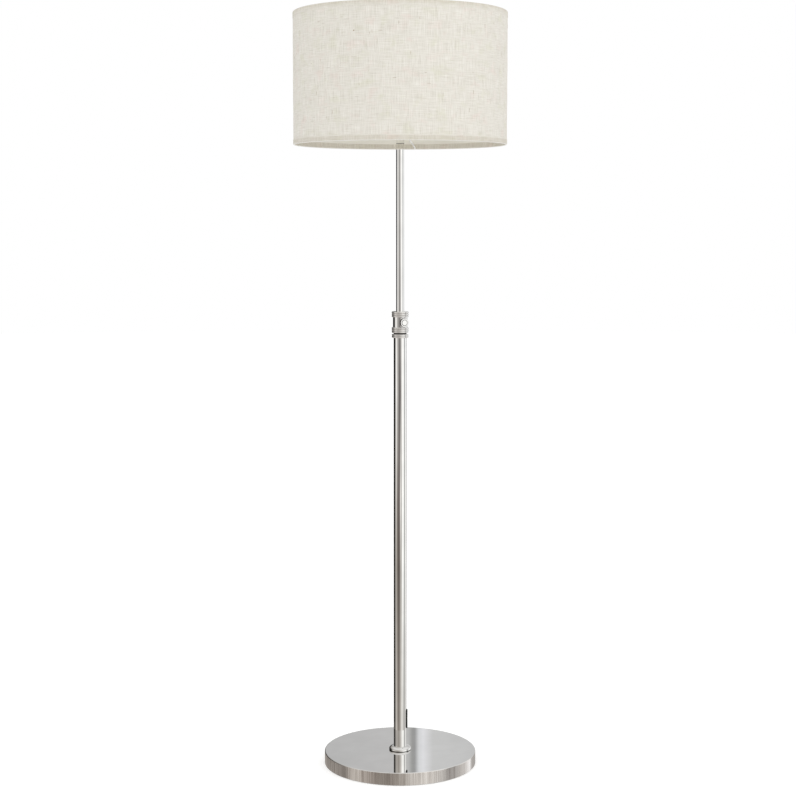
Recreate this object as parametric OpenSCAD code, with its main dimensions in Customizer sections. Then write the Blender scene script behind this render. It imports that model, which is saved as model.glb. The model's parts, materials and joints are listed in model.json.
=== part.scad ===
// Telescopic floor lamp: a round weighted foot, a two-part round stem that a side thumb
// screw locks at any height, and a drum shade carried by a screw-cap lampholder.
// Millimetres. The origin is the bottom centre of the foot, +Z is up and -Y is the front.

/* [Foot] */
// Outer diameter of the pressed cover
base_d = 307; // [260:1:340]
// Height of the foot, from the floor to the top of the cover
base_h = 25.9; // [23:0.1:34]
// Sheet thickness of the cover
cover_wall = 1.2; // [0.8:0.1:2]
// Rounding of the cover's top edge
cover_edge_r = 1.5; // [0.6:0.1:3]
// Height of the cover's rim above the floor
rim_lift = 1; // [0.5:0.1:2]
// Thickness of the felt pad under the foot
pad_h = 2.6; // [1.5:0.1:4]
// Diameter of the pad's middle hole, for a spanner
pad_hole_d = 60; // [44:1:90]
// How far the pad's edge lies inside the weight's edge
pad_inset = 1.5; // [0.5:0.1:5]
// Thickness of the cast weight at its middle
weight_web = 8; // [6:0.5:11]
// Width of the weight's full-height outer ring
weight_ring_w = 33; // [20:1:60]
// Diameter of the stud that ties the stem to the foot
stud_d = 10; // [8:1:12]
// Outer diameter of the washer under the weight
washer_d = 30; // [24:1:40]
// Thickness of the washer
washer_h = 2.5; // [1.5:0.1:3]
// Width of the nut across its flats
nut_af = 17; // [16:1:19]
// Height of the nut
nut_h = 6; // [4:0.5:7]
// How far the stud stands out below its nut
stud_tail = 1.5; // [0.5:0.5:2]
// Outer diameter of the bead ring that hides the stem's joint
foot_ring_d = 44.5; // [36:0.5:60]
// Height of the bead ring
foot_ring_h = 8.1; // [6:0.1:12]
// Thickness of the bead ring's flat lower edge
foot_ring_edge = 2; // [1:0.1:4]

/* [Stem] */
// Outer diameter of the lower tube
lower_d = 26; // [24:0.5:30]
// Wall of the lower tube
lower_wall = 1.5; // [1:0.1:2]
// Length of the lower tube
lower_len = 851.5; // [700:1:1000]
// Length of the threaded plug in the tube's foot
plug_len = 25; // [15:1:35]
// Outer diameter of the upper tube
upper_d = 16; // [14:0.5:18]
// Wall of the upper tube
upper_wall = 1; // [0.8:0.1:1.4]
// Length of the upper tube that shows above the collar
extension = 331; // [250:1:420]
// How far the upper tube can still rise
rise = 300; // [200:1:340]
// Length of the nylon guide on the upper tube's lower end
guide_len = 25; // [15:1:40]
// Width of the bead that is rolled into the tube above the guide
tube_bead_w = 3; // [2:0.1:5]
// How far that bead stands out of the tube
tube_bead_r = 1.8; // [1:0.1:2.4]
// Thickness of the end plug's flange
end_flange_h = 2; // [1:0.1:4]
// Length of the end plug inside the tube
end_plug_len = 14; // [8:1:25]
// Diameter of the wire way through the end plug
wire_way_d = 9; // [7:0.5:10]

/* [Collar] */
// Outer diameter over the ornamental beads
bead_d = 33.7; // [32.5:0.1:38]
// Height of one bead
bead_pitch = 3.75; // [3:0.05:4.5]
// Number of beads on the ferrule
ferrule_beads = 2; // [1:1:4]
// Number of beads on each end of the collar
collar_beads = 3; // [2:1:4]
// Height of the bare groove between ferrule and collar
groove_h = 2.3; // [1:0.1:5]
// Outer diameter of the collar's neck
neck_d = 28.7; // [27:0.1:31]
// Height of the collar's neck
neck_h = 20.2; // [19:0.1:30]
// Length of the collar's spigot inside the lower tube
spigot_len = 30; // [20:1:45]
// Thickness of the lip that closes the collar over its liner
lip_h = 1.2; // [0.8:0.1:2]
// Wall of the nylon liner in the collar
liner_wall = 1.8; // [1.4:0.1:2.2]

/* [Thumb screw] */
// Diameter of the knob
knob_d = 17.4; // [14:0.1:18]
// Thickness of the knob
knob_h = 4.6; // [3:0.1:7]
// Gap between the neck and the back of the knob
knob_stand_off = 0.65; // [0.4:0.05:2]
// How far below the middle of the neck the screw sits
knob_drop = 0.5; // [0:0.1:0.8]
// Turn of the screw to the right of the lamp's front
screw_turn = 27; // [0:1:60]
// Diameter of the threaded shank
screw_d = 6; // [5:0.5:7]
// Number of grooves in the knob's rim
knob_grooves = 36; // [18:1:48]
// Diameter of one groove
groove_d = 0.7; // [0.4:0.1:0.9]
// Bevel on the knob's edges
knob_bevel = 0.5; // [0.2:0.1:1]
// Diameter of the disc let into the knob's face
knob_disc_d = 10.4; // [8:0.1:12]
// Thickness of that disc
knob_disc_h = 1; // [0.6:0.1:2]
// How far the disc stands out of the knob's face
knob_disc_proud = 0.3; // [0.1:0.1:0.5]
// Thickness of the brass pressure pad on the screw's tip
tip_h = 1.3; // [1:0.1:1.5]
// Diameter of the pin that snaps the pad into the screw
tip_pin_d = 2; // [1.5:0.1:2.5]
// Length of that pin
tip_pin_len = 2.2; // [1.5:0.1:4]
// Clearance between the pressure pad and the tube
tip_gap = 0.25; // [0.1:0.05:0.4]

/* [Cord gland] */
// Height of the gland's middle above the floor
gland_z = 89.85; // [75:0.5:120]
// Height of the gland's plate
gland_h = 39.7; // [24:0.1:50]
// Width of the gland's plate
gland_w = 9.5; // [9:0.1:12]
// How far the plate stands out of the tube
gland_t = 2.2; // [1.5:0.1:4]
// Diameter of the cord's hole
cord_hole_d = 6.4; // [5:0.1:6.8]
// Wall of the gland's neck, through the tube
gland_neck_wall = 1; // [0.8:0.1:1.2]
// Width of the snap lip inside the tube
gland_lip_w = 0.8; // [0.5:0.1:1]
// Thickness of the snap lip
gland_lip_t = 1; // [0.6:0.1:1.5]

/* [Lampholder] */
// Height of the turned cap on the upper tube
tube_cap_h = 7; // [4:0.5:12]
// Length of the turned cap's plug inside the tube
tube_cap_plug = 16; // [10:1:25]
// Diameter of the threaded nipple
nipple_d = 10; // [9:0.5:10]
// Wire way through the nipple
nipple_bore = 7; // [5:0.5:7.5]
// Reach of the nipple into the lampholder
nipple_reach = 6; // [4:0.5:8]
// Diameter of the lampholder over its thread
holder_d = 39; // [38:0.5:42]
// Wall of the lampholder's skirt
holder_wall = 2; // [1.5:0.1:2.5]
// Height of the lampholder's cap
holder_cap_h = 10.8; // [10.5:0.1:16]
// Diameter of the collar at the foot of the lampholder's cap
holder_collar_d = 22; // [20:0.5:26]
// Height of that collar
holder_collar_h = 5; // [4.5:0.1:6]
// Width of the flange that the shade's washer rests on, past the thread
holder_flange_w = 4; // [3:0.1:5]
// Thickness of the flange
holder_flange_h = 2.5; // [1.5:0.1:4]
// Height of the lampholder's skirt above the flange
holder_skirt_h = 34.6; // [32:0.1:42]
// Thread pitch on the skirt
holder_pitch = 2.5; // [2:0.1:3]
// Depth of that thread
holder_thread = 0.6; // [0.3:0.1:0.8]
// Height of the ring that clamps the shade
clamp_ring_h = 8; // [6:0.5:12]
// Number of grip ribs on the clamp ring
clamp_ribs = 24; // [12:1:36]
// Thickness of the porcelain insert
insert_h = 9; // [7:0.5:10]
// Diameter of the grub screw in the lampholder's cap
grub_d = 3; // [2.5:0.5:3.5]
// Size of the brass terminal blocks
terminal = 6; // [4:0.5:6]
// Diameter of the terminal screws
terminal_screw_d = 3; // [2:0.5:3.5]

/* [Bulb] */
// Thread diameter of the bulb's cap
bulb_thread_d = 26.2; // [25.8:0.1:26.4]
// Thread pitch of the bulb's cap
bulb_pitch = 3.62; // [3.4:0.01:3.8]
// Thread depth of the bulb's cap
bulb_thread_depth = 1; // [0.6:0.1:1.1]
// Diameter of the bulb's globe
bulb_d = 60; // [45:1:80]
// Length of the bulb, from its contact to its crown
bulb_len = 104; // [96:1:130]
// Radius of the curve from the bulb's neck to its globe
bulb_neck_r = 30; // [20:1:40]
// Thickness of the bulb's glass
bulb_wall = 0.8; // [0.5:0.1:1.2]

/* [Shade] */
// Outer diameter of the drum shade
shade_d = 420.4; // [340:1:480]
// Height of the drum shade
shade_h = 256.4; // [180:1:320]
// Thickness of the linen
linen_t = 0.6; // [0.4:0.1:1]
// Thickness of the stiff liner that the linen is bonded to
film_t = 0.4; // [0.3:0.05:0.8]
// Diameter of the ring and arm wire
wire_d = 3; // [2.5:0.1:4]
// Height of the hem tape
hem_h = 11; // [8:0.5:20]
// Thickness of the hem tape
hem_t = 0.35; // [0.25:0.05:0.6]
// Height of the spider's crown above the shade's bottom edge
spider_arch = 25.3; // [12:0.1:40]
// Turn of the first spider arm about the stem, from the lamp's right
spider_turn = 81.4; // [0:0.1:119]
// Number of spider arms
spider_arms = 3; // [3:1:4]
// Height of an arm's end above the middle of the ring wire
arm_rise = 1.7; // [1.5:0.1:2.5]
// Width of the spider's centre washer
washer_w = 4.8; // [3:0.1:6]
// Thickness of the spider's centre washer
spider_t = 2; // [1.2:0.1:2.8]

/* [Fits] */
// Radial gap between pieces that are pressed, screwed or glued together
seat_gap = 0.05; // [0.02:0.01:0.1]
// Radial gap between pieces that slide or turn in each other
run_gap = 0.07; // [0.04:0.01:0.1]
// Gap at the ends of pieces that turn against each other
end_play = 0.2; // [0.1:0.05:0.4]
// Gap left where a travel ends
stop_gap = 0.3; // [0.2:0.1:0.5]
// Radial gap round a bolt in its hole
bolt_gap = 0.4; // [0.2:0.1:0.8]
// Gap between the weight and the cover's wall
weight_gap = 0.8; // [0.4:0.1:2]

/* [Hidden] */
$fn = 96;
tiny = 0.01;
chrome_color = "silver";

// Foot
base_r = base_d / 2;
weight_r = base_r - cover_wall - weight_gap;
weight_z1 = base_h - cover_wall;
web_z0 = weight_z1 - weight_web;
washer_z0 = web_z0 - washer_h;
nut_z0 = washer_z0 - nut_h;
stud_r = stud_d / 2;

// Stem
lower_r = lower_d / 2;
lower_bore_r = lower_r - lower_wall;
lower_z1 = base_h + lower_len;
upper_r = upper_d / 2;
upper_bore_r = upper_r - upper_wall;
spigot_z0 = lower_z1 - spigot_len;
bead_stack_h = collar_beads * bead_pitch;
neck_z0 = lower_z1 + bead_stack_h;
collar_z1 = neck_z0 + neck_h + bead_stack_h;
ferrule_z0 = lower_z1 - groove_h - ferrule_beads * bead_pitch;
upper_z1 = collar_z1 + extension;
tube_bead_z1 = spigot_z0 - rise - stop_gap;
guide_z1 = tube_bead_z1 - tube_bead_w - end_play;
guide_z0 = guide_z1 - guide_len;
upper_z0 = guide_z0 - end_play;

// Collar and thumb screw
collar_liner_r = upper_r + run_gap + liner_wall;
liner_seat_r = collar_liner_r + seat_gap;
screw_z = neck_z0 + neck_h / 2 - knob_drop;
screw_r = screw_d / 2;
tip_x = upper_r + tip_gap;
shank_x = tip_x + tip_h + seat_gap;
knob_x = neck_d / 2 + knob_stand_off;
knob_x1 = knob_x + knob_h;

// Lampholder
holder_z0 = upper_z1 + tube_cap_h;
flange_z0 = holder_z0 + holder_cap_h;
flange_z1 = flange_z0 + holder_flange_h;
holder_z1 = flange_z1 + holder_skirt_h;
holder_r = holder_d / 2;
holder_bore_r = holder_r - holder_thread - holder_wall;
flange_r = holder_r + holder_flange_w;
holder_ledge_w = 2;
holder_spigot_h = 4;
terminal_x = 9;
nipple_r = nipple_d / 2;
insert_z1 = flange_z1 + insert_h;

// Bulb
contact_gap = 0.1;
contact_rise = 3.6;
bulb_z0 = insert_z1 + contact_rise + contact_gap;
bulb_contact_h = 1.2;
bulb_insulator_h = 3.2;
bulb_cap_z0 = bulb_z0 + bulb_contact_h + bulb_insulator_h;
bulb_cap_turns = 5;
bulb_cap_t = 0.6;
bulb_cap_floor = 1;
bulb_skirt_h = 5;
bulb_thread_h = bulb_cap_turns * bulb_pitch;
bulb_cap_z1 = bulb_cap_z0 + bulb_thread_h + bulb_skirt_h;
bulb_r = bulb_d / 2;
bulb_neck = bulb_thread_d / 2 - bulb_thread_depth;
bulb_mid_z = bulb_z0 + bulb_len - bulb_r;
shell_t = 0.5;
shell_gap = 0.3;
shell_r = bulb_thread_d / 2 + shell_gap;
shell_turns = 4;
shell_rim_h = 1;
shell_rim_z = bulb_cap_z0 + shell_turns * bulb_pitch;

// Shade
shade_r = shade_d / 2;
shade_z0 = flange_z1 + wire_d / 2 - spider_arch;
shade_z1 = shade_z0 + shade_h;
wire_r = wire_d / 2;
linen_r = shade_r - hem_t - seat_gap;
film_r = linen_r - linen_t - seat_gap;
wire_play = 0.1;
pocket_r = wire_r + wire_play;
fold_r = pocket_r + hem_t;
wire_ring_r = shade_r - fold_r;
wire_z = fold_r;
skin_lift = wire_z + pocket_r;
hem_inner_r = film_r - film_t - seat_gap;
hem_step_h = wire_z + pocket_r + 3;
spider_washer_r = holder_r + 0.7;
arm_start_r = spider_washer_r + washer_w - 1;
weld_gap = 0.15;
arm_end_r = wire_ring_r - wire_r - weld_gap;
arm_drop = spider_arch - wire_z - arm_rise;
arm_bend_r = (pow(wire_ring_r, 2) + pow(arm_drop, 2)) / (2 * arm_drop);
clamp_ring_z0 = flange_z1 + spider_t;

// A round bar, or a tube when it has a bore, from one height to another
module tube(r, z0, z1, bore = 0) {
    rotate_extrude() translate([bore, z0]) square([r - bore, z1 - z0]);
}

// A rod lying along +X
module rod_x(r, x0, x1) {
    translate([x0, 0, 0]) rotate([0, 90, 0]) cylinder(r = r, h = x1 - x0);
}

// Turns its children to the thumb screw's line, with +X pointing outwards
module along_screw() {
    translate([0, 0, screw_z]) rotate([0, 0, screw_turn - 90]) children();
}

// Points on an arc about a centre, from one angle to another
function arc(c, r, a0, a1, n = 16) =
    [for (i = [0 : n]) let (a = a0 + (a1 - a0) * i / n) [c[0] + r * cos(a), c[1] + r * sin(a)]];

// ---- Foot ----

module base_cover() {
    top_r = stud_r + bolt_gap;
    color(chrome_color) rotate_extrude() difference() {
        union() {
            translate([top_r, rim_lift]) square([base_r - top_r, base_h - cover_edge_r - rim_lift]);
            translate([top_r, rim_lift]) square([base_r - cover_edge_r - top_r, base_h - rim_lift]);
            translate([base_r - cover_edge_r, base_h - cover_edge_r]) circle(r = cover_edge_r);
        }
        translate([0, rim_lift - 1]) square([base_r - cover_wall, weight_z1 - rim_lift + 1]);
    }
}

module base_weight() {
    color("dimgray") difference() {
        tube(weight_r, pad_h, weight_z1);
        tube(weight_r - weight_ring_w, pad_h - 1, web_z0);
        tube(stud_r + bolt_gap, 0, base_h);
    }
}

module base_pad() {
    color("darkslategray") tube(weight_r - pad_inset, 0, pad_h, pad_hole_d / 2);
}

module base_stud() {
    // The plug's thread runs on past the stud's end
    spare_thread = 3;
    color(chrome_color) tube(stud_r, nut_z0 - stud_tail, base_h + plug_len - spare_thread);
}

module base_washer() {
    color(chrome_color) tube(washer_d / 2, washer_z0, web_z0, stud_r + bolt_gap);
}

module base_nut() {
    color(chrome_color) translate([0, 0, nut_z0]) difference() {
        cylinder(d = nut_af / cos(30), h = nut_h, $fn = 6);
        translate([0, 0, -1]) cylinder(r = stud_r + seat_gap, h = nut_h + 2);
    }
}

module foot_plug() {
    color(chrome_color)
        tube(lower_bore_r - seat_gap, base_h, base_h + plug_len, stud_r + seat_gap);
}

module foot_ring() {
    ring_r = foot_ring_d / 2;
    bore = lower_r + seat_gap;
    crown = foot_ring_h - foot_ring_edge;
    bevel = 0.5;
    color(chrome_color) translate([0, 0, base_h]) rotate_extrude() polygon(concat(
        [[bore, 0], [ring_r - bevel, 0], [ring_r, bevel]],
        [for (a = [0 : 6 : 78]) [bore + (ring_r - bore) * cos(a), foot_ring_edge + crown * sin(a)]],
        [[bore, foot_ring_h]]
    ));
}

// ---- Lower stem ----

module lower_tube() {
    color(chrome_color) difference() {
        tube(lower_r, base_h, lower_z1, lower_bore_r);
        translate([0, 0, gland_z]) rod_x(cord_hole_d / 2 + gland_neck_wall + seat_gap, 0, lower_d);
    }
}

module cord_gland() {
    plate_r = lower_r + gland_t;
    neck_r = cord_hole_d / 2 + gland_neck_wall;
    lip_r = neck_r + gland_lip_w;
    lip_x = sqrt(pow(lower_bore_r, 2) - pow(lip_r, 2)) - seat_gap;
    half = gland_h / 2 - gland_w / 2;
    color("black") difference() {
        union() {
            intersection() {
                tube(plate_r, gland_z - gland_h / 2, gland_z + gland_h / 2, lower_r + seat_gap);
                translate([0, 0, gland_z]) union() {
                    translate([0, -gland_w / 2, -half]) cube([plate_r + 1, gland_w, 2 * half]);
                    for (s = [-1, 1]) translate([0, 0, s * half]) rod_x(gland_w / 2, 0, plate_r + 1);
                }
            }
            translate([0, 0, gland_z]) rod_x(neck_r, lip_x - gland_lip_t, lower_r + gland_t / 2);
            translate([0, 0, gland_z]) rod_x(lip_r, lip_x - gland_lip_t, lip_x);
        }
        translate([0, 0, gland_z]) rod_x(cord_hole_d / 2, 0, plate_r + 1);
    }
}

// A stack of round beads with a bore, standing on z0
module beads(z0, count, bore) {
    r = bead_pitch / 2;
    core = bead_d / 2 - r;
    rotate_extrude() translate([0, z0]) union() {
        translate([bore, 0]) square([core - bore, count * bead_pitch]);
        for (i = [0 : count - 1]) translate([core, r + i * bead_pitch]) circle(r = r, $fn = 48);
    }
}

module ferrule() {
    color(chrome_color) beads(ferrule_z0, ferrule_beads, lower_r + seat_gap);
}

module collar() {
    lip_bore = upper_r + 0.5;
    lip_root_w = 1;
    color(chrome_color) difference() {
        union() {
            tube(lower_bore_r - seat_gap, spigot_z0, lower_z1 + tiny, liner_seat_r);
            beads(lower_z1, collar_beads, liner_seat_r);
            tube(neck_d / 2, neck_z0, neck_z0 + neck_h, liner_seat_r);
            beads(neck_z0 + neck_h, collar_beads, liner_seat_r);
            tube(liner_seat_r + lip_root_w, collar_z1 - lip_h, collar_z1, lip_bore);
        }
        along_screw() rod_x(screw_r + run_gap, upper_r, neck_d);
    }
}

module collar_liner() {
    color("whitesmoke") difference() {
        tube(collar_liner_r, spigot_z0, collar_z1 - lip_h, upper_r + run_gap);
        along_screw() rod_x(screw_r + run_gap, 0, neck_d);
    }
}

// ---- Thumb screw ----

module screw_knob() {
    r = knob_d / 2;
    color(chrome_color) along_screw() rotate([0, 90, 0]) difference() {
        rotate_extrude() difference() {
            polygon([
                [screw_r + seat_gap, knob_x], [r - knob_bevel, knob_x], [r, knob_x + knob_bevel],
                [r, knob_x1 - knob_bevel], [r - knob_bevel, knob_x1], [screw_r + seat_gap, knob_x1]
            ]);
            translate([0, knob_x1 - knob_disc_h + knob_disc_proud])
                square([knob_disc_d / 2 + seat_gap, knob_disc_h + 1]);
        }
        for (i = [0 : knob_grooves - 1]) rotate([0, 0, i * 360 / knob_grooves])
            translate([r, 0, knob_x - 1]) cylinder(d = groove_d, h = knob_h + 2, $fn = 16);
    }
}

module screw_shank() {
    color(chrome_color) along_screw() difference() {
        rod_x(screw_r, shank_x, knob_x1 - knob_disc_h + knob_disc_proud);
        rod_x(tip_pin_d / 2 + run_gap, shank_x - 1, shank_x + tip_pin_len + end_play);
    }
}

module knob_disc() {
    color(chrome_color) along_screw()
        rod_x(knob_disc_d / 2, knob_x1 - knob_disc_h + knob_disc_proud, knob_x1 + knob_disc_proud);
}

module pressure_pad() {
    color("goldenrod") along_screw() {
        rod_x(screw_r, tip_x, tip_x + tip_h);
        rod_x(tip_pin_d / 2, tip_x, shank_x + tip_pin_len);
    }
}

// ---- Upper stem ----

module guide_bush() {
    color("whitesmoke") tube(lower_bore_r - run_gap, guide_z0, guide_z1, upper_r + run_gap);
}

module upper_tube() {
    bead_z = tube_bead_z1 - tube_bead_w / 2;
    // Rolling the bead leaves a groove in the bore behind it
    groove_w = 1;
    groove_depth = upper_wall * 0.4;
    color(chrome_color) rotate_extrude() difference() {
        union() {
            translate([upper_bore_r, upper_z0]) square([upper_wall, upper_z1 - upper_z0]);
            translate([upper_bore_r, bead_z - tube_bead_w / 2])
                square([upper_wall + tube_bead_r, tube_bead_w]);
        }
        translate([0, bead_z - groove_w / 2]) square([upper_bore_r + groove_depth, groove_w]);
    }
}

module tube_end_plug() {
    color("dimgray") {
        tube(upper_bore_r - seat_gap, upper_z0 - end_flange_h, upper_z0 + end_plug_len, wire_way_d / 2);
        tube(upper_r + tube_bead_r, upper_z0 - end_flange_h, upper_z0, wire_way_d / 2);
    }
}

module tube_cap() {
    color(chrome_color) {
        tube(upper_bore_r - seat_gap, upper_z1 - tube_cap_plug, holder_z0, nipple_r + seat_gap);
        tube(upper_r, upper_z1, holder_z0, nipple_r + seat_gap);
    }
}

module nipple() {
    short = 2;
    color("goldenrod")
        tube(nipple_r, upper_z1 - tube_cap_plug + short, holder_z0 + nipple_reach, nipple_bore / 2);
}

// ---- Lampholder ----

module holder_cap() {
    inner = holder_bore_r - holder_ledge_w;
    outer = holder_r - holder_thread;
    low = holder_collar_h;
    bowl_r = 4;
    bowl_wall = 2;
    color("ivory") translate([0, 0, holder_z0]) difference() {
        rotate_extrude() difference() {
            polygon(concat(
                [[nipple_r + seat_gap, 0], [holder_collar_d / 2, 0], [holder_collar_d / 2, low - bowl_wall]],
                arc([outer - bowl_r, low - bowl_wall + bowl_r], bowl_r, -60, 0, 8),
                [[outer, holder_cap_h], [nipple_r + seat_gap, holder_cap_h]]
            ));
            translate([0, low]) square([inner, holder_cap_h]);
            translate([0, holder_cap_h - holder_spigot_h]) square([holder_bore_r + seat_gap, holder_cap_h]);
        }
        rotate([0, 0, 90]) translate([0, 0, low / 2]) rod_x(grub_d / 2 + seat_gap, 0, holder_r);
    }
}

module holder_grub_screw() {
    head_x = holder_collar_d / 2 - 0.4;
    socket_depth = 1.6;
    color("dimgray") rotate([0, 0, 90]) translate([0, 0, holder_z0 + holder_collar_h / 2]) difference() {
        rod_x(grub_d / 2, nipple_r + 0.1, head_x);
        translate([head_x - socket_depth, 0, 0]) rotate([0, 90, 0])
            cylinder(d = grub_d / 2, h = socket_depth + 1, $fn = 6);
    }
}

module holder_body() {
    turns = floor((holder_skirt_h - thread_start) / holder_pitch);
    core = holder_r - holder_thread;
    rim_h = 3;
    mouth_r = shell_r + shell_t + shell_gap;
    crest_h = holder_pitch * 0.55;
    thread_start = 1;
    color("ivory") rotate_extrude() difference() {
        union() {
            translate([0, flange_z0 - holder_spigot_h + seat_gap]) square([holder_bore_r, holder_spigot_h]);
            translate([0, flange_z0]) square([flange_r, holder_flange_h]);
            translate([0, flange_z0]) square([core, holder_z1 - flange_z0]);
            for (i = [0 : turns - 1]) translate([0, flange_z1 + thread_start + i * holder_pitch])
                square([holder_r, crest_h]);
        }
        translate([0, flange_z0 - holder_spigot_h]) square([holder_bore_r - holder_ledge_w, holder_flange_h + 5]);
        translate([0, flange_z1]) square([holder_bore_r, holder_z1 - rim_h - flange_z1]);
        translate([0, flange_z1]) square([mouth_r, holder_z1]);
    }
}

module shade_clamp_ring() {
    rim_r = spider_washer_r + washer_w - 1.5;
    grip_r = holder_r + 2;
    rim_h = 2;
    flute_r = 1;
    flute_depth = 0.6;
    color("ivory") difference() {
        union() {
            tube(rim_r, clamp_ring_z0, clamp_ring_z0 + rim_h, holder_r + seat_gap);
            tube(grip_r, clamp_ring_z0, clamp_ring_z0 + clamp_ring_h, holder_r + seat_gap);
        }
        for (i = [0 : clamp_ribs - 1]) rotate([0, 0, i * 360 / clamp_ribs])
            translate([grip_r + flute_r - flute_depth, 0, clamp_ring_z0 + rim_h])
                cylinder(r = flute_r, h = clamp_ring_h, $fn = 24);
    }
}

module holder_insert() {
    rivet_hole_r = 1.2;
    color("white") difference() {
        tube(holder_bore_r - seat_gap, flange_z1, insert_z1);
        for (s = [-1, 1]) translate([s * terminal_x, 0, flange_z1 - 1])
            cylinder(r = rivet_hole_r, h = insert_h + 2);
    }
}

// A wavy tube wall from z0 to z1 with its crests at radius r
module wavy_shell(r, z0, turns, depth, wall) {
    steps = 8 * turns;
    wave = [for (i = [0 : steps]) [r - depth / 2 + depth / 2 * cos(i * 45), z0 + bulb_pitch * i / 8]];
    rotate_extrude() polygon(concat(wave, [for (i = [steps : -1 : 0]) wave[i] - [wall, 0]]));
}

// The shell's wave lies in step with the bulb's thread
module screw_shell() {
    r = shell_r + shell_t;
    color("goldenrod") union() {
        tube(r, insert_z1, bulb_cap_z0, shell_r);
        wavy_shell(r, bulb_cap_z0, shell_turns, bulb_thread_depth, shell_t);
        tube(r, shell_rim_z, shell_rim_z + shell_rim_h, shell_r);
    }
}

module centre_contact() {
    leaf = 0.5;
    width = 5;
    reach = 6;
    foot = 3;
    tip = 3;
    bend = 0.4;
    rotate([90, 0, 90]) translate([0, insert_z1, -width / 2]) color("goldenrod")
        linear_extrude(height = width) polygon([
            [-reach, 0], [foot - reach, 0], [1, contact_rise - leaf], [tip, contact_rise - leaf],
            [tip, contact_rise], [1 - bend, contact_rise], [foot - reach - bend, leaf], [-reach, leaf]
        ]);
}

module side_contact() {
    leaf = 0.8;
    width = 6;
    height = 5;
    x0 = 8;
    color("goldenrod") intersection() {
        tube(shell_r - seat_gap, insert_z1, insert_z1 + height);
        difference() {
            translate([x0, -width / 2, insert_z1]) cube([shell_r, width, height]);
            tube(shell_r - seat_gap - leaf, insert_z1 + leaf, insert_z1 + height + 1);
        }
    }
}

// The two terminals hang under the insert, one on each side of the wire way
module at_terminals() {
    for (s = [-1, 1]) translate([s * terminal_x, 0, flange_z1 - terminal]) children();
}

module terminal_blocks() {
    hole_depth = terminal - 2;
    color("goldenrod") at_terminals() difference() {
        translate([-terminal / 2, -terminal / 2, 0]) cube(terminal);
        translate([0, 0, -1]) cylinder(d = terminal_screw_d + 2 * seat_gap, h = hole_depth + 1);
    }
}

module terminal_screws() {
    proud = 0.5;
    screw_len = terminal - 1.8;
    slot_w = 0.5;
    slot_depth = 0.5;
    color("silver") at_terminals() translate([0, 0, -proud]) difference() {
        cylinder(d = terminal_screw_d, h = screw_len);
        translate([-terminal_screw_d, -slot_w / 2, -1]) cube([2 * terminal_screw_d, slot_w, slot_depth + 1]);
    }
}

// ---- Bulb ----

module bulb_contact() {
    color("silver") translate([0, 0, bulb_z0]) rotate_extrude()
        polygon([[0, 0], [3, 0], [4.6, 0.6], [4.6, bulb_contact_h], [0, bulb_contact_h]]);
}

module bulb_insulator() {
    z0 = bulb_z0 + bulb_contact_h;
    color("black") translate([0, 0, z0]) rotate_extrude()
        polygon([[0, 0], [5.2, 0], [bulb_neck - 1.5, bulb_insulator_h], [0, bulb_insulator_h]]);
}

module bulb_cap() {
    z1 = bulb_cap_z0 + bulb_thread_h;
    inner = bulb_neck - bulb_cap_t;
    root_w = 2;
    color("silver") difference() {
        union() {
            wavy_shell(bulb_thread_d / 2, bulb_cap_z0, bulb_cap_turns, bulb_thread_depth, root_w);
            tube(bulb_neck, z1 - tiny, bulb_cap_z1);
            tube(bulb_neck - root_w / 2, bulb_cap_z0, z1);
        }
        tube(inner, bulb_cap_z0 + bulb_cap_floor, bulb_cap_z1 + 1);
    }
}

// Outline of the globe at a given distance inside its outer face
function globe(inset) = let (
        r = bulb_r - inset,
        neck = bulb_neck - bulb_cap_t - seat_gap - inset,
        bend = bulb_neck_r + inset,
        side = neck + bend,
        dz = sqrt(pow(r + bend, 2) - pow(side, 2)),
        slope = atan2(dz, side)
    ) concat(
        [[neck, bulb_cap_z1 - bulb_skirt_h]],
        arc([side, bulb_mid_z - dz], bend, 180, 180 - slope, 12),
        arc([0, bulb_mid_z], r, -slope, 90, 24)
    );

module bulb_globe() {
    outer = globe(0);
    inner = globe(bulb_wall);
    last = len(inner) - 1;
    color("white") rotate_extrude() polygon(concat(outer, [for (i = [last : -1 : 0]) inner[i]]));
}

// ---- Shade ----

module shade_linen() {
    color("linen") tube(linen_r, shade_z0 + skin_lift, shade_z1 - skin_lift, linen_r - linen_t);
}

module shade_liner() {
    color("ivory") tube(film_r, shade_z0 + skin_lift, shade_z1 - skin_lift, film_r - film_t);
}

// A wire ring at the height of its middle
module wire_ring(z) {
    color("white") rotate_extrude() translate([wire_ring_r, z]) circle(r = wire_r, $fn = 32);
}

module shade_ring_bottom() {
    wire_ring(shade_z0 + wire_z);
}

module shade_ring_top() {
    wire_ring(shade_z1 - wire_z);
}

// Turns its children round to each spider arm
module at_arms() {
    for (i = [0 : spider_arms - 1]) rotate([0, 0, spider_turn + i * 360 / spider_arms]) children();
}

module shade_spider() {
    a0 = 90 - asin(arm_end_r / arm_bend_r);
    a1 = 90 - asin(arm_start_r / arm_bend_r);
    color("white") union() {
        tube(spider_washer_r + washer_w, flange_z1, flange_z1 + spider_t, spider_washer_r);
        at_arms() translate([0, 0, shade_z0 + spider_arch - arm_bend_r]) rotate([90, 0, 0])
            rotate([0, 0, a0]) rotate_extrude(angle = a1 - a0)
                translate([arm_bend_r, 0]) circle(r = wire_r, $fn = 32);
    }
}

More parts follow.
